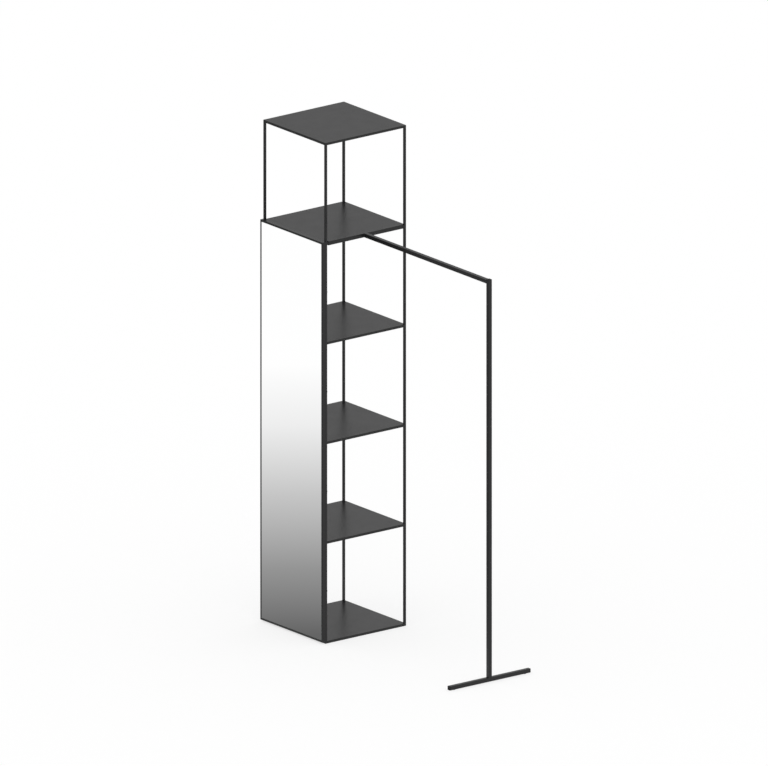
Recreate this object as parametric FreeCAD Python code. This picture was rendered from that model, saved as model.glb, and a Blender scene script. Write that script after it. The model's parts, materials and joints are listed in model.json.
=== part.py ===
import FreeCAD, Part
import math
import os

from FreeCAD import Vector

# Clothes stand, in millimetres: an open shelf tower, a full-length mirror and a hanging rail.
# The tower stands at -X, the rail reaches to +X, the mirror looks to -Y and Z is up.
# The origin lies on the floor under the middle of the whole stand.

# Shelf tower: square posts in the notched corners of folded sheet trays
tower_side = 400.0
bay_count = 5
shelf_pitch = 409.0
post_side = 9.0
post_edge = 0.5
sheet = 1.5
lip_depth = 10.0
bend_radius = 1.2
fold_limit = 0.85

# Hanging rail: square tube let into the edge of the tray below the top
rail_reach = 800.0
rail_tube = 16.0
rail_wall = 1.5
tube_corner = 0.6
rail_rise = 2.5
crossbar_gap = 5.5
tab_clearance = 1.5
foot_bar_length = 400.0

# Plastic plugs in the open tube ends
plug_flange = 3.0
plug_depth = 14.0
plug_clearance = 0.25
plug_edge = 0.4

# Mirror panel: a mitred flat-bar frame round glass, board and back sheet
mirror_depth = 15.0
mirror_rim = 7.5
mirror_rise = 2.5
mirror_lift = 6.5
mirror_edge = 0.6
glass_thickness = 4.0
glass_setback = 0.5
back_sheet = 1.0
panel_clearance = 0.3

# Hexagon screws for the trays, the mirror and the crossbar, and a socket bolt for the foot bar
small_thread = 3.0
small_head = 5.5
small_head_height = 2.0
rail_thread = 4.0
rail_head = 7.0
rail_head_height = 2.8
bolt_thread = 5.0
bolt_head = 8.5
bolt_head_height = 5.0
bolt_key = 4.0
bolt_key_depth = 2.5
head_room = 0.25
hole_clearance = 0.2
thread_clearance = 0.05
tapping_runout = 0.5
tray_screw_bite = 5.0
mirror_screw_bite = 8.0
rail_screw_tip = 1.5
rail_screw_clear = 24.0
rail_screw_inner = 60.0
foot_bolt_bite = 20.0
driver_clearance = 0.5

# Rivet nuts in the crossbar and the foot bar, and the tapped block in the leg
rail_nut_width = 6.0
rail_nut_length = 9.0
bar_nut_width = 7.0
bar_nut_length = 10.0
nut_bulge = 1.0
nut_bulge_length = 2.5
leg_insert_length = 28.0
insert_clearance = 0.05

# Levelling feet under the base tray and under the foot bar
foot_thread = 5.0
foot_nut_width = 8.0
tower_pad_width = 20.0
tower_pad_height = 3.5
tower_foot_inset = 30.0
ground_gap = 0.5
bar_pad_width = 12.0
bar_pad_height = 2.0
bar_foot_clear = 8.0
bar_stud_reach = 11.0
stud_end_gap = 0.2
pad_edge = 0.4
pad_floor = 0.8

# Slim shanks, studs and their holes have a few flat sides in place of a full round
round_sides = 12

# Places that follow from the sizes above
overall_length = tower_side + rail_reach
overall_depth = tower_side + mirror_depth
tower_left = -overall_length / 2
tower_right = tower_left + tower_side
tower_back = overall_depth / 2
tower_front = tower_back - tower_side
mirror_front = tower_front - mirror_depth
tower_x = (tower_left + tower_right) / 2
tower_y = (tower_front + tower_back) / 2
half_side = tower_side / 2
lip_bottom = ground_gap
tray_tops = [lip_bottom + lip_depth + level * shelf_pitch for level in range(bay_count + 1)]
foot_nut_height = lip_bottom + lip_depth - sheet - tower_pad_height
rail_level = bay_count - 1
rail_top = tray_tops[rail_level] + rail_rise
rail_middle = rail_top - rail_tube / 2
tube_bore = rail_tube - 2 * rail_wall
leg_x = overall_length / 2 - rail_tube / 2
bar_bottom = bar_pad_height
bar_top = bar_bottom + rail_tube
crossbar_length = tower_side - 2 * (post_side + crossbar_gap)
plug_inner_end = plug_flange + plug_depth
rail_screw_outer = crossbar_length / 2 - plug_inner_end - rail_screw_clear
rail_screw_spots = (-rail_screw_outer, -rail_screw_inner, rail_screw_inner, rail_screw_outer)
mirror_bottom = lip_bottom + mirror_lift
mirror_top = tray_tops[rail_level] + mirror_rise
tray_screw_inset = sheet + small_head / 2 + head_room
tray_screw_drop = sheet + small_head / math.sqrt(3) + head_room
rail_screw_drop = sheet + rail_head / math.sqrt(3) + head_room

X_AXIS = Vector(1, 0, 0)
Y_AXIS = Vector(0, 1, 0)
Z_AXIS = Vector(0, 0, 1)
SIDES = (("left", -1), ("right", 1))
FACES = (("front", -1), ("back", 1))


def block(low, high):
    """Box between two opposite corners."""
    size = high - low
    return Part.makeBox(size.x, size.y, size.z, low)


def prism(corners, along):
    """Straight solid with a polygon as its end face."""
    outline = Part.makePolygon(corners + corners[:1])
    return Part.Face(outline).extrude(along)


def sided_bar(sides, radius, length):
    """Regular bar on the origin along +Z, by the radius of its corners."""
    angles = [math.tau * step / sides for step in range(sides)]
    corners = [Vector(radius * math.cos(angle), radius * math.sin(angle), 0) for angle in angles]
    return prism(corners, Vector(0, 0, length))


def hexagon_bar(width, length):
    """Hexagonal bar on the origin along +Z, by its width across flats."""
    return sided_bar(6, width / math.sqrt(3), length)


def rod(width, length):
    """Slim round bar on the origin along +Z."""
    return sided_bar(round_sides, width / 2, length)


def edges_along(shape, axis):
    """Straight edges of a flat-sided solid that run along an axis."""
    return [edge for edge in shape.Edges if abs(edge.Curve.Direction.dot(axis)) > 0.999]


def square_bar(side, length):
    """Square bar on the origin along +Z."""
    return Part.makeBox(side, side, length, Vector(-side / 2, -side / 2, 0))


def laid(shape, place, axis):
    """The shape with its own +Z turned to an axis and its origin moved to a place."""
    shape.Placement = FreeCAD.Placement(place, FreeCAD.Rotation(Z_AXIS, axis))
    return shape


def drilled(shape, width, place, axis, depth):
    """The shape less a round hole that starts at a place and runs along an axis."""
    return shape.cut(laid(rod(width, depth), place, axis))


def rounded_tube_blank(length):
    """Solid of the rail tube's outline on the origin along +Z."""
    blank = square_bar(rail_tube, length)
    return blank.makeFillet(tube_corner, edges_along(blank, Z_AXIS))


def square_tube(length):
    """Rail tube on the origin along +Z."""
    return rounded_tube_blank(length).cut(square_bar(tube_bore, length))


def tube_plug():
    """End plug: its flange lies on the tube's end at the origin, its shank points to -Z."""
    flange = rounded_tube_blank(plug_flange)
    rim = [edge for edge in flange.Edges if edge.BoundBox.ZMin > plug_flange / 2]
    flange = flange.makeChamfer(plug_edge, rim)
    shank = square_bar(tube_bore - 2 * plug_clearance, plug_depth)
    shank.translate(Vector(0, 0, -plug_depth))
    return flange.fuse(shank).removeSplitter()


def hexagon_screw(thread, head, head_height, length):
    """Hexagon screw: the head's seat is on the origin, the head above it, the shank below."""
    shank = rod(thread, length)
    shank.translate(Vector(0, 0, -length))
    return hexagon_bar(head, head_height).fuse(shank)


def socket_bolt(length):
    """Foot bolt with a hexagon socket, seated like the hexagon screws."""
    shank = rod(bolt_thread, length)
    shank.translate(Vector(0, 0, -length))
    key = hexagon_bar(bolt_key, bolt_key_depth)
    key.translate(Vector(0, 0, bolt_head_height - bolt_key_depth))
    return Part.makeCylinder(bolt_head / 2, bolt_head_height).fuse(shank).cut(key)


def rivet_nut(width, length, thread):
    """Set hexagon rivet nut: its mouth is flush with the tube face at the origin, its body to -Z."""
    body = hexagon_bar(width, length)
    body.translate(Vector(0, 0, -length))
    bulge = hexagon_bar(width + 2 * nut_bulge, nut_bulge_length)
    bulge.translate(Vector(0, 0, -rail_wall - nut_bulge_length))
    nut = body.fuse(bulge).removeSplitter()
    return drilled(nut, thread + 2 * thread_clearance, Vector(), -Z_AXIS, length)


def nut_hole(shape, width, place, axis):
    """The shape less a rivet nut's hexagon hole through the tube wall at a place."""
    return shape.cut(laid(hexagon_bar(width + 2 * thread_clearance, rail_wall), place, axis))


def levelling_pad(width, height):
    """Hexagonal floor pad on the origin, turned by its flats, with a blind socket for its stud."""
    pad = hexagon_bar(width, height)
    rim = [edge for edge in pad.Edges if edge.BoundBox.ZMax < height / 2]
    pad = pad.makeChamfer(pad_edge, rim)
    mouth = Vector(0, 0, height)
    return drilled(pad, foot_thread + 2 * thread_clearance, mouth, -Z_AXIS, height - pad_floor)


def levelling_stud(height, reach):
    """Threaded stud that stands in a pad of this height and reaches above it."""
    stud = rod(foot_thread, height + reach - pad_floor)
    stud.translate(Vector(0, 0, pad_floor))
    return stud


def tray_screw_seat(side, face, top):
    """Where a tray's corner screw bears: on the inside of the notch wall against the post."""
    return Vector(
        tower_x + side * (half_side - post_side - sheet),
        tower_y + face * (half_side - tray_screw_inset),
        top - tray_screw_drop,
    )


def mirror_screw_seat(side, bay):
    """Where a mirror screw bears: on the inside of a front post, half way up a bay."""
    return Vector(
        tower_x + side * (half_side - mirror_rim / 2),
        tower_front + post_side,
        tray_tops[bay] + shelf_pitch / 2,
    )


def rail_screw_seat(spot):
    """Where a rail screw bears: on the inside of the set-back lip behind the crossbar."""
    return Vector(
        tower_right - rail_tube - sheet,
        tower_y + spot,
        tray_tops[rail_level] - rail_screw_drop,
    )


def tower_foot_place(side, face):
    """Floor point under one of the tower's levelling feet."""
    reach = half_side - tower_foot_inset
    return Vector(tower_x + side * reach, tower_y + face * reach, 0)


def bar_foot_place(face):
    """Floor point under one of the foot bar's levelling feet."""
    return Vector(leg_x, tower_y + face * (foot_bar_length / 2 - plug_inner_end - bar_foot_clear), 0)


def post(side, face):
    """Square corner post with tapped holes for the trays and, at the front, for the mirror."""
    reach = half_side - post_side / 2
    length = tray_tops[-1] - sheet - lip_bottom
    bar = square_bar(post_side, length)
    bar = bar.makeChamfer(post_edge, edges_along(bar, Z_AXIS))
    bar.translate(Vector(tower_x + side * reach, tower_y + face * reach, lip_bottom))
    outward = X_AXIS * side
    tapped = small_thread + 2 * thread_clearance
    for top in tray_tops:
        mouth = tray_screw_seat(side, face, top) + outward * sheet
        bar = drilled(bar, tapped, mouth, outward, tray_screw_bite + tapping_runout)
    if face < 0:
        for bay in range(rail_level):
            mouth = mirror_screw_seat(side, bay)
            bar = drilled(bar, small_thread + 2 * hole_clearance, mouth, -Y_AXIS, post_side)
    return bar


def tray_outline(rail_recess):
    """Corners of a tray's outline, notched round the posts and set back behind the crossbar."""
    outer = half_side
    notch = half_side - post_side
    outline = []
    for side, face in ((-1, -1), (1, -1), (1, 1), (-1, 1)):
        corner = [(side * outer, face * notch), (side * notch, face * notch), (side * notch, face * outer)]
        if rail_recess and side > 0:
            setback = half_side - rail_tube
            tab = crossbar_length / 2 + tab_clearance
            corner = [(setback, face * tab), (notch, face * tab), (notch, face * outer)]
        if side * face < 0:
            corner.reverse()
        outline += corner
    return [Vector(tower_x + x, tower_y + y, 0) for x, y in outline]


def tray(level):
    """Folded sheet tray: a flat top with a lip turned down all round, also round the posts."""
    top = tray_tops[level]
    outline = tray_outline(level == rail_level)
    body = prism(outline, Vector(0, 0, lip_depth))
    if level == bay_count:
        low = Vector(tower_left, tower_front, lip_depth - sheet)
        cover = block(low, Vector(tower_right, tower_back, lip_depth))
        body = body.fuse(cover).removeSplitter()
    folds = [
        edge for edge in body.Edges
        if edge.BoundBox.ZMin > lip_depth - sheet / 2 and edge.Length > half_side
    ]
    body = body.makeFillet(min(bend_radius, fold_limit * sheet), folds)
    rim = Part.makePolygon(outline + outline[:1])
    inside = Part.Face(rim.makeOffset2D(-sheet, join=2))
    body = body.cut(inside.extrude(Vector(0, 0, lip_depth - sheet)))
    body.translate(Vector(0, 0, top - lip_depth))
    width = small_thread + 2 * hole_clearance
    for _, side in SIDES:
        for _, face in FACES:
            seat = tray_screw_seat(side, face, top)
            body = drilled(body, width, seat, X_AXIS * side, sheet)
    if level == rail_level:
        for spot in rail_screw_spots:
            body = drilled(body, rail_thread + 2 * hole_clearance, rail_screw_seat(spot), X_AXIS, sheet)
    return body


def small_screw(length):
    """Screw of the size that the trays and the mirror take."""
    return hexagon_screw(small_thread, small_head, small_head_height, length)


def tray_screws():
    """All the corner screws that hold the trays to the posts."""
    screws = []
    for top in tray_tops:
        for _, side in SIDES:
            for _, face in FACES:
                screw = small_screw(sheet + tray_screw_bite)
                screws.append(laid(screw, tray_screw_seat(side, face, top), X_AXIS * -side))
    return Part.makeCompound(screws)


def frame_bar(corners, axis):
    """One mitred bar of the mirror frame, with its two front edges eased."""
    bar = prism(corners, Vector(0, mirror_depth, 0))
    front = [edge for edge in edges_along(bar, axis) if edge.BoundBox.YMax < mirror_front + mirror_depth / 2]
    return bar.makeFillet(mirror_edge, front)


def mirror_stile(side):
    """Upright bar of the mirror frame, tapped from behind for the mirror screws."""
    outer = tower_x + side * half_side
    inner = outer - side * mirror_rim
    corners = [
        Vector(outer, mirror_front, mirror_bottom),
        Vector(inner, mirror_front, mirror_bottom + mirror_rim),
        Vector(inner, mirror_front, mirror_top - mirror_rim),
        Vector(outer, mirror_front, mirror_top),
    ]
    bar = frame_bar(corners, Z_AXIS)
    depth = mirror_screw_bite + tapping_runout
    for bay in range(rail_level):
        mouth = mirror_screw_seat(side, bay) - Y_AXIS * post_side
        bar = drilled(bar, small_thread + 2 * thread_clearance, mouth, -Y_AXIS, depth)
    return bar


def mirror_crosspiece(outer, inner):
    """Level bar of the mirror frame between two heights."""
    corners = [
        Vector(tower_left, mirror_front, outer),
        Vector(tower_left + mirror_rim, mirror_front, inner),
        Vector(tower_right - mirror_rim, mirror_front, inner),
        Vector(tower_right, mirror_front, outer),
    ]
    return frame_bar(corners, X_AXIS)


def mirror_layer(front, thickness, clearance):
    """Flat layer inside the mirror frame: glass, board or back sheet."""
    margin = mirror_rim + clearance
    low = Vector(tower_left + margin, front, mirror_bottom + margin)
    high = Vector(tower_right - margin, front + thickness, mirror_top - margin)
    return block(low, high)


def mirror_screws():
    """Screws through the front posts into the mirror frame's stiles."""
    screws = []
    for _, side in SIDES:
        for bay in range(rail_level):
            screw = small_screw(post_side + mirror_screw_bite)
            screws.append(laid(screw, mirror_screw_seat(side, bay), Y_AXIS))
    return Part.makeCompound(screws)


def rail_crossbar():
    """Tube along the tower's edge that carries the arm, with holes for its rivet nuts."""
    length = crossbar_length - 2 * plug_flange
    start = Vector(tower_right - rail_tube / 2, tower_y - length / 2, rail_middle)
    tube = laid(square_tube(length), start, Y_AXIS)
    for spot in rail_screw_spots:
        mouth = rail_screw_seat(spot) + X_AXIS * sheet
        tube = nut_hole(tube, rail_nut_width, mouth, X_AXIS)
    return tube


def end_plugs(x, z, length):
    """Two plugs that close a tube lying along Y, by the whole length over the plugs."""
    plugs = []
    for _, face in FACES:
        seat = Vector(x, tower_y + face * (length / 2 - plug_flange), z)
        plugs.append(laid(tube_plug(), seat, Y_AXIS * face))
    return Part.makeCompound(plugs)


def rail_arm():
    """Level tube for the hangers, from the crossbar's face to the leg's face."""
    start = Vector(tower_right, tower_y, rail_middle)
    return laid(square_tube(leg_x - rail_tube / 2 - tower_right), start, X_AXIS)


def rail_leg():
    """Upright tube from the foot bar to the height of the arm's top."""
    return laid(square_tube(rail_top - bar_top), Vector(leg_x, tower_y, bar_top), Z_AXIS)


def foot_bar():
    """Tube on the floor side of the leg, open below for the bolt's head and the levelling feet."""
    length = foot_bar_length - 2 * plug_flange
    start = Vector(leg_x, tower_y - length / 2, bar_bottom + rail_tube / 2)
    tube = laid(square_tube(length), start, Y_AXIS)
    bottom = Vector(leg_x, tower_y, bar_bottom)
    tube = drilled(tube, bolt_head + 2 * driver_clearance, bottom, Z_AXIS, rail_tube / 2)
    tube = drilled(tube, bolt_thread + 2 * hole_clearance, bottom, Z_AXIS, rail_tube)
    for _, face in FACES:
        mouth = bar_foot_place(face) + Z_AXIS * bar_bottom
        tube = nut_hole(tube, bar_nut_width, mouth, Z_AXIS)
    return tube


def leg_insert():
    """Tapped block pressed into the leg's lower end."""
    insert = square_bar(tube_bore - 2 * insert_clearance, leg_insert_length)
    insert = drilled(insert, bolt_thread + 2 * thread_clearance, Vector(), Z_AXIS, leg_insert_length)
    return laid(insert, Vector(leg_x, tower_y, bar_top), Z_AXIS)


def rail_screws():
    """Screws from inside the tray's lip into the crossbar."""
    length = sheet + rail_nut_length + rail_screw_tip
    screws = []
    for spot in rail_screw_spots:
        screw = hexagon_screw(rail_thread, rail_head, rail_head_height, length)
        screws.append(laid(screw, rail_screw_seat(spot), -X_AXIS))
    return Part.makeCompound(screws)


def rail_rivet_nuts():
    """Rivet nuts set in the crossbar's inner face."""
    nuts = []
    for spot in rail_screw_spots:
        mouth = rail_screw_seat(spot) + X_AXIS * sheet
        nuts.append(laid(rivet_nut(rail_nut_width, rail_nut_length, rail_thread), mouth, -X_AXIS))
    return Part.makeCompound(nuts)


def bar_rivet_nuts():
    """Rivet nuts set in the foot bar's lower face for its levelling feet."""
    nuts = []
    for _, face in FACES:
        mouth = bar_foot_place(face) + Z_AXIS * bar_bottom
        nuts.append(laid(rivet_nut(bar_nut_width, bar_nut_length, foot_thread), mouth, -Z_AXIS))
    return Part.makeCompound(nuts)


def tower_foot_nuts():
    """Hexagon nuts welded under the base tray for the tower's levelling feet."""
    nuts = []
    for _, side in SIDES:
        for _, face in FACES:
            nut = hexagon_bar(foot_nut_width, foot_nut_height)
            nut = drilled(nut, foot_thread + 2 * thread_clearance, Vector(), Z_AXIS, foot_nut_height)
            nut.translate(tower_foot_place(side, face) + Z_AXIS * tower_pad_height)
            nuts.append(nut)
    return Part.makeCompound(nuts)


parts = {
    "base_tray": tray(0),
    "rail_tray": tray(rail_level),
    "top_tray": tray(bay_count),
    "tray_screws": tray_screws(),
    "mirror_frame_top": mirror_crosspiece(mirror_top, mirror_top - mirror_rim),
    "mirror_frame_bottom": mirror_crosspiece(mirror_bottom, mirror_bottom + mirror_rim),
    "mirror_screws": mirror_screws(),
    "rail_crossbar": rail_crossbar(),
    "crossbar_plugs": end_plugs(tower_right - rail_tube / 2, rail_middle, crossbar_length),
    "rail_arm": rail_arm(),
    "rail_leg": rail_leg(),
    "leg_cap": laid(tube_plug(), Vector(leg_x, tower_y, rail_top), Z_AXIS),
    "foot_bar": foot_bar(),
    "foot_bar_plugs": end_plugs(leg_x, bar_bottom + rail_tube / 2, foot_bar_length),
    "leg_insert": leg_insert(),
    "rail_screws": rail_screws(),
    "rail_rivet_nuts": rail_rivet_nuts(),
    "bar_rivet_nuts": bar_rivet_nuts(),
    "tower_foot_nuts": tower_foot_nuts(),
}

for level in range(1, rail_level):
    parts[f"shelf_tray_{level}"] = tray(level)

glass_front = mirror_front + glass_setback
core_front = glass_front + glass_thickness
back_front = tower_front - back_sheet
parts["mirror_glass"] = mirror_layer(glass_front, glass_thickness, panel_clearance)
parts["mirror_core_board"] = mirror_layer(core_front, back_front - core_front, panel_clearance)
parts["mirror_back_sheet"] = mirror_layer(back_front, back_sheet, 0)

bolt_seat = Vector(leg_x, tower_y, bar_top - rail_wall)
parts["foot_bolt"] = laid(socket_bolt(rail_wall + foot_bolt_bite), bolt_seat, -Z_AXIS)

for side_name, side in SIDES:
    parts[f"mirror_stile_{side_name}"] = mirror_stile(side)
    for face_name, face in FACES:
        parts[f"post_{face_name}_{side_name}"] = post(side, face)
        pad = levelling_pad(tower_pad_width, tower_pad_height)
        stud = levelling_stud(tower_pad_height, foot_nut_height - stud_end_gap)
        for piece_name, piece in (("pad", pad), ("stud", stud)):
            piece.translate(tower_foot_place(side, face))
            parts[f"tower_foot_{piece_name}_{face_name}_{side_name}"] = piece

for face_name, face in FACES:
    pad = levelling_pad(bar_pad_width, bar_pad_height)
    stud = levelling_stud(bar_pad_height, bar_stud_reach)
    for piece_name, piece in (("pad", pad), ("stud", stud)):
        piece.translate(bar_foot_place(face))
        parts[f"bar_foot_{piece_name}_{face_name}"] = piece

os.makedirs("parts", exist_ok=True)
for name, shape in parts.items():
    shape.exportStep(f"parts/{name}.step")
    print(name, len(shape.Solids), "solid(s), valid:", shape.isValid(), "volume", round(shape.Volume, 1))
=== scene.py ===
import json
import math

import bmesh
import bpy
from mathutils import Matrix, Vector

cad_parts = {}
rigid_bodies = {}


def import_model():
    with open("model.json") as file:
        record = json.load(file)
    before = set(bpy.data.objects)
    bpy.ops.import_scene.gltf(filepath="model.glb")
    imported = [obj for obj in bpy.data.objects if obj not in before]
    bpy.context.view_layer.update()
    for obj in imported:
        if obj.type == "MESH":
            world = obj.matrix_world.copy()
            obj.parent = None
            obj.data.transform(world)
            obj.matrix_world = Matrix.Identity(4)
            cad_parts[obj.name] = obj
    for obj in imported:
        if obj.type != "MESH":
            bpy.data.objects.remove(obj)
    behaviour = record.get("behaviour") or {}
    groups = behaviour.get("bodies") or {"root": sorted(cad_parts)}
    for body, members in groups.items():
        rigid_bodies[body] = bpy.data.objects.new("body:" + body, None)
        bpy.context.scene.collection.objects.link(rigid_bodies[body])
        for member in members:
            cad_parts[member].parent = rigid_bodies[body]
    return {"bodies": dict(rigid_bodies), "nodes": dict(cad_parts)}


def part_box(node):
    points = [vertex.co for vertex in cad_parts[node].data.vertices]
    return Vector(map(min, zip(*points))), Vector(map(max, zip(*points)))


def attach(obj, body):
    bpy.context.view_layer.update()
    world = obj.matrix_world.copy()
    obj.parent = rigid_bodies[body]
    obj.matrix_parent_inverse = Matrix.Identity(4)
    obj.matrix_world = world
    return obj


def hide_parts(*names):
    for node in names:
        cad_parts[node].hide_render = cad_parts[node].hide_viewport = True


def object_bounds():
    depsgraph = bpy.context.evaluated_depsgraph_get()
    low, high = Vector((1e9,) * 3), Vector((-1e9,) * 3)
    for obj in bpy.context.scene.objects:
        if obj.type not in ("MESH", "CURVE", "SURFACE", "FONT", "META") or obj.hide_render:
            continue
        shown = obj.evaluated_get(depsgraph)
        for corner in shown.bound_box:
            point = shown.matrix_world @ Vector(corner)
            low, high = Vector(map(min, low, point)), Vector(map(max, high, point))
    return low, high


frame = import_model()
cad_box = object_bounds()

# Corner posts
# Four square steel bars with eased edges, powder coated in anthracite black.
# They stand in the notched corners of the trays and carry the whole tower.
coat_dark = (0.006, 0.006, 0.0064, 1.0)
coat_light = (0.018, 0.018, 0.0186, 1.0)
coat_gloss = 0.4
coat_haze = 0.08
coat_relief = 0.00006
grain_size = 0.0009
grain_in_tone = 0.7
grain_in_relief = 1.4
peel_size = 0.004
cloud_size = 0.05
post_roughness = 0.27
SIDES = (("left", -1), ("right", 1))
FACES = (("front", -1), ("back", 1))


class Wire:
    """An output of a material's nodes. Sums and products of wires and numbers add Math nodes."""

    def __init__(self, tree, output=None):
        self.tree = tree
        self.output = output

    def node(self, kind, settings=None, sockets=None, output=0):
        """Adds a node, sets it up, feeds its sockets and gives the wire from one of its outputs."""
        made = self.tree.nodes.new(kind)
        for name, value in (settings or {}).items():
            if name == "stops":
                ramp = made.color_ramp.elements
                while len(ramp) < len(value):
                    ramp.new(1.0)
                for stop, (position, level) in zip(ramp, value):
                    stop.position = position
                    stop.color = (level, level, level, 1.0)
            else:
                setattr(made, name, value)
        for key, value in (sockets or {}).items():
            if isinstance(value, Wire):
                self.tree.links.new(value.output, made.inputs[key])
            else:
                made.inputs[key].default_value = value
        return Wire(self.tree, made.outputs[output] if made.outputs else None)

    def math(self, operation, first, second):
        """A Math node on two wires, or on a wire and a number."""
        return self.node("ShaderNodeMath", {"operation": operation}, {0: first, 1: second})

    def __add__(self, other):
        return self.math("ADD", self, other)

    def __radd__(self, other):
        return self.math("ADD", other, self)

    def __sub__(self, other):
        return self.math("SUBTRACT", self, other)

    def __rsub__(self, other):
        return self.math("SUBTRACT", other, self)

    def __mul__(self, other):
        return self.math("MULTIPLY", self, other)

    def __rmul__(self, other):
        return self.math("MULTIPLY", other, self)

    def place(self):
        """Object coordinates, which are the stand's own metres on every piece."""
        return self.node("ShaderNodeTexCoord", output="Object")

    def noise(self, place, size):
        """Soft noise from 0 to 1 with spots of about one size in metres."""
        return self.node("ShaderNodeTexNoise", {}, {"Vector": place, "Scale": 1 / size})

    def mixed(self, factor, low, high):
        """Colour between two colours."""
        return self.node("ShaderNodeMix", {"data_type": "RGBA"}, {0: factor, 6: low, 7: high}, output=2)

    def relief(self, height, depth):
        """Normal of a surface that stands up by a height from 0 to 1 times a depth in metres."""
        return self.node("ShaderNodeBump", {}, {"Height": height, "Distance": depth})


def new_finish(name):
    """A material without nodes, and a wire to add them with."""
    finish = bpy.data.materials.new(name)
    finish.use_nodes = True
    finish.node_tree.nodes.clear()
    return finish, Wire(finish.node_tree)


def surface(wire, **sockets):
    """Ends a material in a surface with these sockets."""
    named = {name.replace("_", " "): value for name, value in sockets.items()}
    shader = wire.node("ShaderNodeBsdfPrincipled", {}, named)
    wire.node("ShaderNodeOutputMaterial", {}, {"Surface": shader})


def uneven(level, spread, noise):
    """A level that noise from 0 to 1 spreads to both sides alike."""
    return level + spread * (noise - 0.5)


def powder_coat(name, roughness):
    """Satin powder coat: a fine grain on a soft orange peel, with faint clouds in tone and gloss."""
    finish, wire = new_finish(name)
    place = wire.place()
    grain = wire.noise(place, grain_size)
    peel = wire.noise(place, peel_size)
    clouds = wire.noise(place, cloud_size)
    surface(
        wire,
        Base_Color=wire.mixed(grain_in_tone * grain + (1 - grain_in_tone) * clouds, coat_dark, coat_light),
        Roughness=uneven(roughness, coat_haze, clouds),
        Specular_IOR_Level=coat_gloss,
        Normal=wire.relief(grain_in_relief * grain + peel, coat_relief),
    )
    return finish


def dress(finish, *names):
    """Gives carried-over pieces their finish."""
    for name in names:
        frame["nodes"][name].material_slots[0].material = finish


post_names = [f"post_{face_name}_{side_name}" for face_name, _ in FACES for side_name, _ in SIDES]
dress(powder_coat("post_coat", post_roughness), *post_names)

# Trays
# Six steel sheets with notched corners and a lip folded down all round, powder coated after folding.
# The second from the top is set back along one edge for the hanging rail's crossbar.
sheet = 0.0015
sheet_roughness = 0.32
shelf_count = 3
shelf_names = [f"shelf_tray_{number + 1}" for number in range(shelf_count)]
tray_names = ["base_tray", *shelf_names, "rail_tray", "top_tray"]
tray_tops = [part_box(name)[1].z for name in tray_names]
sheet_coat = powder_coat("sheet_coat", sheet_roughness)
dress(sheet_coat, *tray_names)

# Tray screws
# Black zinc-plated hexagon screws, one in each corner of each tray.
# Each is driven from inside the folded lip, through the notch's wall and into the post.
small_thread = 0.003
small_pitch = 0.0005
small_head = 0.0055
small_head_height = 0.002
head_room = 0.00025
head_chamfer = 0.0005
head_chamfer_steps = 2
tray_screw_bite = 0.005
thread_depth_share = 0.55
thread_crest_shares = (0.4, 0.55)
thread_steps = 12
thread_fit = 0.98
thread_spare_turns = 1
black_zinc_dark = (0.03, 0.03, 0.032, 1.0)
black_zinc_light = (0.06, 0.06, 0.064, 1.0)
black_zinc_roughness = 0.42
plate_cloud_size = 0.003
plate_mark_size = 0.0004
plate_haze = 0.16
plate_relief = 0.000004
smooth_angle = math.radians(30)
hair = 0.000001
X_AXIS = Vector((1, 0, 0))
Y_AXIS = Vector((0, 1, 0))
Z_AXIS = Vector((0, 0, 1))


def plated_steel(name, dark, light, roughness):
    """Zinc plate: bare metal with a cloudy tone and fine handling marks in its gloss."""
    finish, wire = new_finish(name)
    place = wire.place()
    marks = wire.noise(place, plate_mark_size)
    surface(
        wire,
        Base_Color=wire.mixed(wire.noise(place, plate_cloud_size), dark, light),
        Metallic=1.0,
        Roughness=uneven(roughness, plate_haze, marks),
        Normal=wire.relief(marks, plate_relief),
    )
    return finish


def edges_of(verts):
    """Every edge at some corners, once each and in a steady order."""
    return list(dict.fromkeys(edge for vert in verts for edge in vert.link_edges))


def level_edges(verts, height):
    """The edges at some corners that lie level at a height."""
    return [
        edge for edge in edges_of(verts) if all(abs(vert.co.z - height) < hair for vert in edge.verts)
    ]


def round_edges(shape, edges, offset, segments=1):
    """Rounds edges, or chamfers them where no segments are given."""
    bmesh.ops.bevel(
        shape, geom=edges, offset=offset, segments=segments, affect="EDGES", profile=0.5, material=-1
    )


def threaded_rod(width, pitch, low, high):
    """Rod along Z with a wound thread, which starts and ends past it and is cut square at both ends."""
    shape = bmesh.new()
    crest = thread_fit * width / 2
    root = crest - thread_depth_share * pitch
    outline = ((root, 0), *((crest, share) for share in thread_crest_shares), (root, 1))
    start = low - thread_spare_turns * pitch
    verts = [shape.verts.new((radius, 0, start + share * pitch)) for radius, share in outline]
    edges = [shape.edges.new(pair) for pair in zip(verts, verts[1:])]
    turns = math.ceil((high - low) / pitch) + 2 * thread_spare_turns
    bmesh.ops.spin(
        shape, geom=verts + edges, cent=(0, 0, 0), axis=Z_AXIS, dvec=(0, 0, pitch / thread_steps),
        angle=math.tau * turns, steps=thread_steps * turns,
    )
    bmesh.ops.remove_doubles(shape, verts=shape.verts[:], dist=hair)
    for height, way in ((low, -1), (high, 1)):
        bmesh.ops.bisect_plane(
            shape, geom=shape.verts[:] + shape.edges[:] + shape.faces[:], dist=hair,
            plane_co=(0, 0, height), plane_no=(0, 0, way), clear_outer=True,
        )
    rims = [edge for edge in shape.edges if edge.is_boundary]
    bmesh.ops.holes_fill(shape, edges=rims, sides=0)
    bmesh.ops.recalc_face_normals(shape, faces=shape.faces[:])
    return shape


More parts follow.
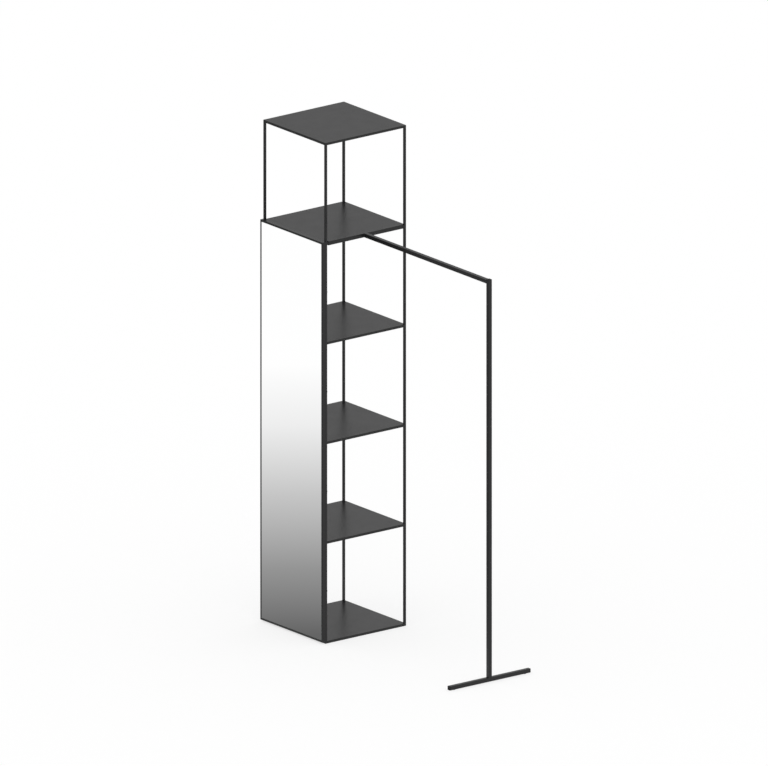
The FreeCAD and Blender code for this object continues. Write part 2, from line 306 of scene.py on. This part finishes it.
def add_bar(shape, sides, radius, low, high):
    """Adds an upright bar with flat sides, one corner towards +X, and gives its corners."""
    stand = Matrix.Translation((0, 0, (low + high) / 2)) @ Matrix.Rotation(math.pi / 2, 4, "Z")
    made = bmesh.ops.create_cone(
        shape, cap_ends=True, segments=sides, radius1=radius, radius2=radius,
        depth=high - low, matrix=stand,
    )
    return made["verts"]


def hexagon_radius(width):
    """From the middle of a hexagon to its corners, by its width across the flats."""
    return width / math.sqrt(3)


def add_hexagon(shape, width, low, high):
    """Adds an upright hexagon bar and gives its corners."""
    return add_bar(shape, 6, hexagon_radius(width), low, high)


def hexagon_screw(thread, pitch, head, head_height, length):
    """Hexagon screw: its seat is on the origin, the chamfered head above it, the shank below."""
    screw = threaded_rod(thread, pitch, -length, head_height / 2)
    corners = add_hexagon(screw, head, 0, head_height)
    round_edges(screw, level_edges(corners, head_height), head_chamfer, head_chamfer_steps)
    return screw


def small_screw(length):
    """Screw of the size that the trays and the mirror take."""
    return hexagon_screw(small_thread, small_pitch, small_head, small_head_height, length)


def facing(seat, axis):
    """Placement that turns a shape's own +Z to an axis and moves it to a seat."""
    return Matrix.Translation(seat) @ Z_AXIS.rotation_difference(axis).to_matrix().to_4x4()


def corners_in(parts):
    """The corners among some parts of a shape."""
    return [part for part in parts if isinstance(part, bmesh.types.BMVert)]


def repeated(shape, places):
    """The shape copied to several places, without the first at the origin."""
    first = shape.verts[:]
    model = first + shape.edges[:] + shape.faces[:]
    for place in places:
        copy = bmesh.ops.duplicate(shape, geom=model)["geom"]
        bmesh.ops.transform(shape, matrix=place, verts=corners_in(copy))
    bmesh.ops.delete(shape, geom=first, context="VERTS")
    return shape


def add_piece(name, shape, body, finishes, stands_for):
    """Puts a modelled shape on a body of the stand, in place of the plain solids it stands for."""
    mesh = bpy.data.meshes.new(name)
    shape.to_mesh(mesh)
    shape.free()
    mesh.shade_smooth()
    mesh.set_sharp_from_angle(angle=smooth_angle)
    for finish in finishes:
        mesh.materials.append(finish)
    piece = bpy.data.objects.new(name, mesh)
    bpy.context.scene.collection.objects.link(piece)
    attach(piece, body)
    if stands_for:
        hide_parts(*stands_for)


def tray_screw_places():
    """Seats on the notch walls, with the screws' heads towards the middle of the tray."""
    inset = sheet + small_head / 2 + head_room
    drop = sheet + hexagon_radius(small_head) + head_room
    places = []
    for side_name, side in SIDES:
        for face_name, face in FACES:
            low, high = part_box(f"post_{face_name}_{side_name}")
            inner = high.x if side < 0 else low.x
            outer = low.y if face < 0 else high.y
            for top in tray_tops:
                seat = Vector((inner - side * sheet, outer - face * inset, top - drop))
                places.append(facing(seat, X_AXIS * -side))
    return places


black_zinc = plated_steel("black_zinc", black_zinc_dark, black_zinc_light, black_zinc_roughness)
corner_screws = repeated(small_screw(sheet + tray_screw_bite), tray_screw_places())
add_piece("corner_screws", corner_screws, "stand", [black_zinc], ["tray_screws"])

# Mirror frame
# Four mitred steel bars, welded, ground flush and powder coated like the tower.
# A thin coated steel sheet closes the panel behind.
frame_roughness = 0.27
frame_names = ["mirror_stile_left", "mirror_stile_right", "mirror_frame_top", "mirror_frame_bottom"]
dress(powder_coat("frame_coat", frame_roughness), *frame_names, "mirror_back_sheet")

# Mirror pane
# Float glass with a silvered face and ground edges.
# It is glued to the board behind it and lies just inside the frame.
pane_bevel = 0.0006
silver_low = (0.99, 0.991, 0.991, 1.0)
silver_high = (0.997, 0.998, 0.998, 1.0)
silver_cloud_size = 0.4
ground_low = (0.3, 0.36, 0.33, 1.0)
ground_high = (0.4, 0.47, 0.43, 1.0)
ground_roughness = 0.5
ground_haze = 0.2
ground_grit_size = 0.0005


def silvered_glass():
    """Polished mirror with a barely uneven silvering."""
    finish, wire = new_finish("silvered_glass")
    silver = wire.mixed(wire.noise(wire.place(), silver_cloud_size), silver_low, silver_high)
    surface(wire, Base_Color=silver, Metallic=1.0, Roughness=0.0)
    return finish


def ground_glass():
    """Grey-green edge of the glass, matt from grinding."""
    finish, wire = new_finish("ground_glass")
    grit = wire.noise(wire.place(), ground_grit_size)
    surface(
        wire,
        Base_Color=wire.mixed(grit, ground_low, ground_high),
        Roughness=uneven(ground_roughness, ground_haze, grit),
    )
    return finish


def mirror_pane():
    """Pane with bevelled edges: its first finish is on the front, its second on the edges and back."""
    low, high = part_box("mirror_glass")
    stand = Matrix.Translation((low + high) / 2) @ Matrix.Diagonal((*(high - low), 1))
    pane = bmesh.new()
    corners = bmesh.ops.create_cube(pane, size=1, matrix=stand)["verts"]
    round_edges(pane, edges_of(corners), pane_bevel)
    front = min(pane.faces, key=lambda face: face.calc_center_median().y)
    for face in pane.faces:
        face.material_index = 0 if face == front else 1
    return pane


pane_finishes = [silvered_glass(), ground_glass()]
add_piece("mirror_pane", mirror_pane(), "stand", pane_finishes, ["mirror_glass"])

# Mirror board
# Raw fibreboard, sawn to size.
# It fills the panel between the glass and the back sheet and is glued to both.
board_dark = (0.3, 0.2, 0.12, 1.0)
board_light = (0.46, 0.33, 0.21, 1.0)
board_roughness = 0.85
board_haze = 0.2
board_relief = 0.00008
fibre_size = 0.0012
fibre_squeeze = 0.3


def fibreboard():
    """Matted wood fibres, longer along the board than across."""
    finish, wire = new_finish("fibreboard")
    squeeze = (1.0, 1.0, fibre_squeeze)
    along = wire.node("ShaderNodeMapping", {}, {"Vector": wire.place(), "Scale": squeeze})
    fibres = wire.noise(along, fibre_size)
    surface(
        wire,
        Base_Color=wire.mixed(fibres, board_dark, board_light),
        Roughness=uneven(board_roughness, board_haze, fibres),
        Normal=wire.relief(fibres, board_relief),
    )
    return finish


dress(fibreboard(), "mirror_core_board")

# Mirror screws
# The same black zinc-plated screws, one to each front post in each bay below the rail tray.
# They are driven from inside the tower, through the post and into the frame's stile.
mirror_screw_bite = 0.008
mirror_bays = shelf_count + 1


def mirror_screw_places():
    """Seats on the inside of the front posts, half way up each bay."""
    places = []
    for side_name, _ in SIDES:
        stile_low, stile_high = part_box(f"mirror_stile_{side_name}")
        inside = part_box(f"post_front_{side_name}")[1].y
        for bay in range(mirror_bays):
            height = (tray_tops[bay] + tray_tops[bay + 1]) / 2
            seat = Vector(((stile_low.x + stile_high.x) / 2, inside, height))
            places.append(facing(seat, Y_AXIS))
    return places


post_low, post_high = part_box("post_front_left")
mirror_screw = small_screw(post_high.y - post_low.y + mirror_screw_bite)
stile_screws = repeated(mirror_screw, mirror_screw_places())
add_piece("stile_screws", stile_screws, "stand", [black_zinc], ["mirror_screws"])

# Hanging rail
# Square steel tube, powder coated: crossbar, arm and leg, and the foot bar bolted under the leg.
# The arm is welded to the crossbar and to the leg, with beads in the corners and flush sides ground.
rail_roughness = 0.31
bead_radius = 0.0018
bead_sides = 14
bead_cuts = 30
bead_inset = 0.001
bead_tip = 0.1
bead_ripple = 0.0016
bead_swell = 0.1
tube_coat = powder_coat("tube_coat", rail_roughness)
dress(tube_coat, "rail_crossbar", "rail_arm", "rail_leg", "foot_bar")


def uprights_of(verts):
    """The edges at some corners that run up along Z."""
    return [edge for edge in edges_of(verts) if abs(edge.verts[0].co.z - edge.verts[1].co.z) > hair]


def weld_bead(length):
    """Rippled bead along Z about the origin, drawn in at its ends."""
    bead = bmesh.new()
    corners = add_bar(bead, bead_sides, bead_radius, -length / 2, length / 2)
    bmesh.ops.subdivide_edges(bead, edges=uprights_of(corners), cuts=bead_cuts)
    for vert in bead.verts:
        from_end = length / 2 - abs(vert.co.z)
        taper = math.sqrt(min(1.0, bead_tip + from_end / bead_radius))
        swell = 1 + bead_swell * math.cos(math.tau * vert.co.z / bead_ripple)
        vert.co.xy = vert.co.xy * taper * swell
    return bead


def arm_welds():
    """Two upright beads where the arm meets the crossbar, and a level one in the elbow under the arm."""
    low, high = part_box("rail_arm")
    middle = (low + high) / 2
    places = [facing(Vector((low.x, side, middle.z)), Z_AXIS) for side in (low.y, high.y)]
    places.append(facing(Vector((high.x, middle.y, low.z)), Y_AXIS))
    return repeated(weld_bead(high.z - low.z - 2 * bead_inset), places)


add_piece("arm_welds", arm_welds(), "stand", [tube_coat], [])

# Tube plugs
# Black moulded plastic: a square flange with soft edges on a ribbed shank that grips the tube.
# They close both ends of the crossbar and of the foot bar, and the leg's top with a rounder rim.
plug_flange = 0.003
plug_depth = 0.014
plug_corner = 0.0006
plug_crown = 0.0004
cap_crown = 0.0018
crown_steps = 4
corner_steps = 4
tube_wall = 0.0015
shank_gap = 0.0006
rib_count = 3
rib_height = 0.0012
rib_gap = 0.0001
plastic_dark = (0.024, 0.024, 0.0248, 1.0)
plastic_light = (0.034, 0.034, 0.035, 1.0)
plastic_gloss = 0.12
plastic_roughness = 0.75
plastic_haze = 0.1
plastic_relief = 0.00001
mould_grain_size = 0.0004


def moulded_plastic():
    """Polyamide with a fine matt mould grain."""
    finish, wire = new_finish("moulded_plastic")
    grain = wire.noise(wire.place(), mould_grain_size)
    surface(
        wire,
        Base_Color=wire.mixed(grain, plastic_dark, plastic_light),
        Roughness=uneven(plastic_roughness, plastic_haze, grain),
        Specular_IOR_Level=plastic_gloss,
        Normal=wire.relief(grain, plastic_relief),
    )
    return finish


def stepped_bar(steps):
    """Square bar along Z that takes each step's height and half width in turn."""
    bar = bmesh.new()
    (height, half), *others = steps
    bmesh.ops.create_grid(
        bar, x_segments=1, y_segments=1, size=half, matrix=Matrix.Translation((0, 0, height))
    )
    bottom = end = next(iter(bar.faces))
    for height, half in others:
        grown = bmesh.ops.extrude_face_region(bar, geom=[end])["geom"]
        if end != bottom:
            bmesh.ops.delete(bar, geom=[end], context="FACES_ONLY")
        end = next(item for item in grown if isinstance(item, bmesh.types.BMFace))
        for vert in end.verts:
            vert.co = (math.copysign(half, vert.co.x), math.copysign(half, vert.co.y), height)
    bmesh.ops.recalc_face_normals(bar, faces=bar.faces[:])
    return bar


def tube_plug(side, crown):
    """Plug on a tube's end at the origin: a flange with a crowned rim above it, a ribbed shank below."""
    half = side / 2
    rib = half - tube_wall - rib_gap
    shank = half - tube_wall - shank_gap
    steps = [(-plug_depth, shank)]
    for number in range(rib_count):
        low = -plug_depth * (rib_count - number - 0.5) / rib_count
        high = low + rib_height
        steps += [(low, shank), (low, rib), (high, rib), (high, shank)]
    steps += [(0, shank), (0, half)]
    shoulder = plug_flange - crown
    for step in range(crown_steps + 1):
        steps.append((shoulder + crown * math.sin(math.pi / 2 * step / crown_steps), half))
    plug = stepped_bar(steps)
    flange = [vert for vert in plug.verts if vert.co.z > hair]
    round_edges(plug, uprights_of(flange), plug_corner, corner_steps)
    for vert in plug.verts:
        rise = min(1, max(0, vert.co.z - shoulder) / crown)
        vert.co.xy = vert.co.xy * (1 - crown / half * (1 - math.sqrt(1 - rise ** 2)))
    return plug


def end_places(name):
    """The two ends of a tube that lies along Y."""
    low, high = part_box(name)
    middle = (low + high) / 2
    ends = ((low.y, -Y_AXIS), (high.y, Y_AXIS))
    return [facing(Vector((middle.x, end, middle.z)), axis) for end, axis in ends]


leg_low, leg_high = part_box("rail_leg")
tube_side = leg_high.x - leg_low.x
leg_top = Vector(((leg_low.x + leg_high.x) / 2, (leg_low.y + leg_high.y) / 2, leg_high.z))
plastic = moulded_plastic()
for piece_name, node_name, crown, places in (
    ("crossbar_end_plugs", "crossbar_plugs", plug_crown, end_places("rail_crossbar")),
    ("foot_bar_end_plugs", "foot_bar_plugs", plug_crown, end_places("foot_bar")),
    ("leg_end_cap", "leg_cap", cap_crown, [facing(leg_top, Z_AXIS)]),
):
    plugs = repeated(tube_plug(tube_side, crown), places)
    add_piece(piece_name, plugs, "stand", [plastic], [node_name])

# Tray tabs
# Two narrow tabs of the rail tray's own sheet, folded down level with the side of the tower.
# They close the slots between the crossbar's plugs and the posts.
tab_clearance = 0.0003
fold_radius = 0.0012
fold_steps = 4


def add_tab(shape, inner, outer, start, end):
    """Adds a folded strip that reaches out along X and is as wide as from start to end along Y."""
    low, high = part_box("rail_tray")
    bottom = low.z
    top = high.z
    under = top - sheet
    inside = outer - sheet
    profile = (
        (inner, top), (outer, top), (outer, bottom), (inside, bottom), (inside, under), (inner, under),
    )
    side = shape.faces.new([shape.verts.new((x, start, z)) for x, z in profile])
    far_corners = corners_in(bmesh.ops.extrude_face_region(shape, geom=[side])["geom"])
    bmesh.ops.translate(shape, verts=far_corners, vec=(0, end - start, 0))
    folds = [
        edge for edge in edges_of(far_corners + side.verts[:])
        if all(outer - vert.co.x < hair and top - vert.co.z < hair for vert in edge.verts)
    ]
    round_edges(shape, folds, fold_radius, fold_steps)


def tray_tabs():
    """A tab at each end of the crossbar, between its plug and the post."""
    plug_low, plug_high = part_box("crossbar_plugs")
    front_low, front_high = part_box("post_front_right")
    back_low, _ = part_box("post_back_right")
    tabs = bmesh.new()
    add_tab(tabs, front_low.x, front_high.x, front_high.y, plug_low.y - tab_clearance)
    add_tab(tabs, front_low.x, front_high.x, plug_high.y + tab_clearance, back_low.y)
    bmesh.ops.recalc_face_normals(tabs, faces=tabs.faces[:])
    return tabs


add_piece("rail_tray_tabs", tray_tabs(), "stand", [sheet_coat], [])

# Rail screws and nuts
# Black zinc-plated hexagon screws, driven from inside the rail tray's set-back lip.
# They hold the crossbar by bright zinc-plated rivet nuts that are set in its wall.
rail_thread = 0.004
rail_pitch = 0.0007
rail_head = 0.007
rail_head_height = 0.0028
rail_screw_inner = 0.06
zinc_dark = (0.48, 0.49, 0.5, 1.0)
zinc_light = (0.6, 0.61, 0.63, 1.0)
zinc_roughness = 0.36
zinc = plated_steel("bright_zinc", zinc_dark, zinc_light, zinc_roughness)
dress(zinc, "rail_rivet_nuts")


def rail_screws():
    """Four screws along the crossbar, two on each side of the arm, with their heads towards -X."""
    low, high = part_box("rail_screws")
    middle = (low + high) / 2
    outer = (high.y - low.y - rail_head) / 2
    places = []
    for spot in (-outer, -rail_screw_inner, rail_screw_inner, outer):
        seat = Vector((low.x + rail_head_height, middle.y + spot, middle.z))
        places.append(facing(seat, -X_AXIS))
    length = high.x - low.x - rail_head_height
    return repeated(hexagon_screw(rail_thread, rail_pitch, rail_head, rail_head_height, length), places)


add_piece("crossbar_screws", rail_screws(), "stand", [black_zinc], ["rail_screws"])

# Foot bolt
# Bright zinc-plated socket bolt, driven up through the foot bar.
# It screws into the tapped steel block that is fixed in the leg's lower end.
bolt_thread = 0.005
bolt_pitch = 0.0008
bolt_head = 0.0085
bolt_head_height = 0.005
bolt_head_sides = 36
bolt_edge = 0.0004
bolt_key = 0.004
bolt_key_depth = 0.0025
bolt_thread_in_head = 0.00125
soft_edge_steps = 3
dress(zinc, "leg_insert")


def sink_socket(shape, top):
    """Sinks a hexagon socket for a key into the middle of a round top face."""
    bmesh.ops.inset_region(shape, faces=[top], thickness=bolt_key / 2)
    for vert in top.verts:
        from_flat = math.atan2(vert.co.y, vert.co.x) % (math.pi / 3) - math.pi / 6
        vert.co.xy = vert.co.xy.normalized() * bolt_key / 2 / math.cos(from_flat)
    sunk = corners_in(bmesh.ops.extrude_face_region(shape, geom=[top])["geom"])
    bmesh.ops.translate(shape, verts=sunk, vec=(0, 0, -bolt_key_depth))
    bmesh.ops.delete(shape, geom=[top], context="FACES_ONLY")


def foot_bolt():
    """Bolt with its head down in the foot bar."""
    low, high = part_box("foot_bolt")
    seat = Vector((leg_top.x, leg_top.y, low.z + bolt_head_height))
    bolt = threaded_rod(bolt_thread, bolt_pitch, seat.z - high.z, bolt_thread_in_head)
    head = add_bar(bolt, bolt_head_sides, bolt_head / 2, 0, bolt_head_height)
    round_edges(bolt, level_edges(head, bolt_head_height), bolt_edge, soft_edge_steps)
    sink_socket(bolt, max(bolt.faces, key=lambda face: face.calc_center_median().z))
    return repeated(bolt, [facing(seat, -Z_AXIS)])


add_piece("socket_bolt", foot_bolt(), "stand", [zinc], ["foot_bolt"])

# Levelling feet
# Six hexagonal plastic pads, each moulded on a zinc-plated stud that screws out on an uneven floor.
# Four turn in nuts welded under the base tray and two in rivet nuts in the foot bar.
stud_thread = 0.005
stud_pitch = 0.0008
pad_edge = 0.0004
pad_rim = 0.0015
pad_recess = 0.0003
dress(zinc, "tower_foot_nuts", "bar_rivet_nuts")


def floor_pad(low, high):
    """Pad with soft edges and a shallow recess underneath."""
    pad = bmesh.new()
    corners = add_hexagon(pad, high.y - low.y, low.z, high.z)
    round_edges(pad, edges_of(corners), pad_edge, soft_edge_steps)
    under = min(pad.faces, key=lambda face: face.calc_center_median().z)
    bmesh.ops.inset_region(pad, faces=[under], thickness=pad_rim)
    bmesh.ops.inset_region(pad, faces=[under], thickness=pad_edge, depth=-pad_recess)
    return pad


def centred_on(shape, low, high):
    """The shape moved sideways to the middle of a box."""
    middle = (low + high) / 2
    bmesh.ops.translate(shape, verts=shape.verts[:], vec=(middle.x, middle.y, 0))
    return shape


for foot in [name for name in frame["bodies"] if name != "stand"]:
    group, corner = foot.split("_foot_")
    pad_node = f"{group}_foot_pad_{corner}"
    pad_low, pad_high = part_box(pad_node)
    pad = centred_on(floor_pad(pad_low, pad_high), pad_low, pad_high)
    add_piece(f"{foot}_pad", pad, foot, [plastic], [pad_node])
    stud_node = f"{group}_foot_stud_{corner}"
    stud_low, stud_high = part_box(stud_node)
    stud = threaded_rod(stud_thread, stud_pitch, stud_low.z, stud_high.z)
    add_piece(
        f"{foot}_stud", centred_on(stud, stud_low, stud_high), foot, [zinc], [stud_node]
    )

# Floor and light
# A pale studio floor under an even white sky. It shows white with the stand's soft shadow on it.
# Reflections see painted tones on it: a painted sheen for satin metal, grey in front of the stand and
# paler behind, and a painted reflection for the mirror, dark near the stand and pale with distance.
floor_half = 16.0
floor_bounce = (0.5, 0.5, 0.5, 1.0)
shadow_share = 0.3
white = (1.0, 1.0, 1.0, 1.0)
sky_sheen = (0.565, 0.565, 0.565, 1.0)
# Painted sheen: grey levels that satin metal reflects from the floor, darker in front of the stand than
# behind.
front_sheen = 0.36
back_sheen = 0.82
front_sheen_y = -0.6
back_sheen_y = 0.0
# Painted reflection: a grey ramp that the mirror sees on the floor, dark near the stand and pale with
# distance.
painted_reflection_centre = (0.37, 0.39, 0.0)
painted_reflection_reach = 4.77
painted_reflection_stops = ((0.2, 0.13), (0.385, 0.3), (0.59, 0.56), (0.79, 0.86), (0.96, 1.0))


def ray(wire, kind):
    """1 where a ray is of a kind and 0 elsewhere."""
    return wire.node("ShaderNodeLightPath", output=kind)


def either(wire, factor, first, second):
    """Shader that goes from the first to the second with a factor."""
    return wire.node("ShaderNodeMixShader", {}, {0: factor, 1: first, 2: second})


def floor_paint():
    """Floor that looks white, and glows painted sheen and painted reflection tones where gloss or the
    mirror reflects it.
    """
    finish, wire = new_finish("floor_paint")
    place = wire.place()
    away = wire.node(
        "ShaderNodeVectorMath", {"operation": "DISTANCE"}, {0: place, 1: painted_reflection_centre}, "Value"
    )
    # tone is that painted reflection for the mirror, by distance from the stand.
    tone = wire.node("ShaderNodeValToRGB", {"stops": painted_reflection_stops}, {"Fac": away * (1 / painted_reflection_reach)})
    across = wire.node("ShaderNodeSeparateXYZ", {}, {0: place}, "Y")
    # The floor glows these painted sheen levels for satin reflections only.
    sheen = wire.node("ShaderNodeMapRange", {"interpolation_type": "SMOOTHSTEP"}, {
        "Value": across, "From Min": front_sheen_y, "From Max": back_sheen_y,
        "To Min": front_sheen, "To Max": back_sheen,
    })
    lit, matt_white = (
        wire.node("ShaderNodeBsdfDiffuse", {}, {"Color": colour}) for colour in (floor_bounce, white)
    )
    satin, painted_mirror_reflection, glow_white = (
        wire.node("ShaderNodeEmission", {}, {"Color": colour}) for colour in (sheen, tone, white)
    )
    reflected = either(wire, ray(wire, "Is Singular Ray"), satin, painted_mirror_reflection)
    unseen = either(wire, ray(wire, "Is Glossy Ray"), lit, reflected)
    seen = either(wire, shadow_share, glow_white, matt_white)
    direct = ray(wire, "Is Camera Ray") + ray(wire, "Is Transmission Ray")
    wire.node("ShaderNodeOutputMaterial", {}, {"Surface": either(wire, direct, unseen, seen)})
    return finish


def studio_floor():
    """Large square sheet at the height that the feet stand on."""
    shape = bmesh.new()
    bmesh.ops.create_grid(shape, x_segments=1, y_segments=1, size=floor_half)
    mesh = bpy.data.meshes.new("floor")
    shape.to_mesh(mesh)
    shape.free()
    mesh.materials.append(floor_paint())
    floor = bpy.data.objects.new("floor", mesh)
    bpy.context.scene.collection.objects.link(floor)


def studio_sky():
    """Even white light from all round, greyer where satin metal reflects it."""
    sky = bpy.data.worlds.new("sky")
    sky.use_nodes = True
    sky.node_tree.nodes.clear()
    wire = Wire(sky.node_tree)
    bright, satin = (
        wire.node("ShaderNodeBackground", {}, {"Color": colour}) for colour in (white, sky_sheen)
    )
    in_satin = ray(wire, "Is Glossy Ray") * (1 - ray(wire, "Is Singular Ray"))
    wire.node("ShaderNodeOutputWorld", {}, {"Surface": either(wire, in_satin, bright, satin)})
    bpy.context.scene.world = sky


studio_floor()
studio_sky()

# Camera
# A parallel projection at the photograph's angles, on its almost square picture.
# It is placed by the tower's far top corner.
camera_turn = math.radians(52.34)
camera_rise = math.radians(17.0)
camera_width = 3.0147
aim_right = 0.15739
aim_down = 1.1054
camera_distance = 8.0
camera_depth = 60.0

backwards = Vector((
    math.sin(camera_turn) * math.cos(camera_rise),
    -math.cos(camera_turn) * math.cos(camera_rise),
    math.sin(camera_rise),
))
rightwards = Vector((math.cos(camera_turn), math.sin(camera_turn), 0))
upwards = backwards.cross(rightwards)
stand_low, stand_high = cad_box
far_corner = Vector((stand_low.x, stand_high.y, stand_high.z))
aim = far_corner + rightwards * aim_right - upwards * aim_down
lens = bpy.data.cameras.new("camera")
lens.type = "ORTHO"
lens.ortho_scale = camera_width
lens.clip_end = camera_depth
camera = bpy.data.objects.new("camera", lens)
camera.location = aim + backwards * camera_distance
camera.rotation_euler = backwards.to_track_quat("Z", "Y").to_euler()
bpy.context.scene.collection.objects.link(camera)
bpy.context.scene.camera = camera
bpy.context.scene.view_settings.view_transform = "Standard"
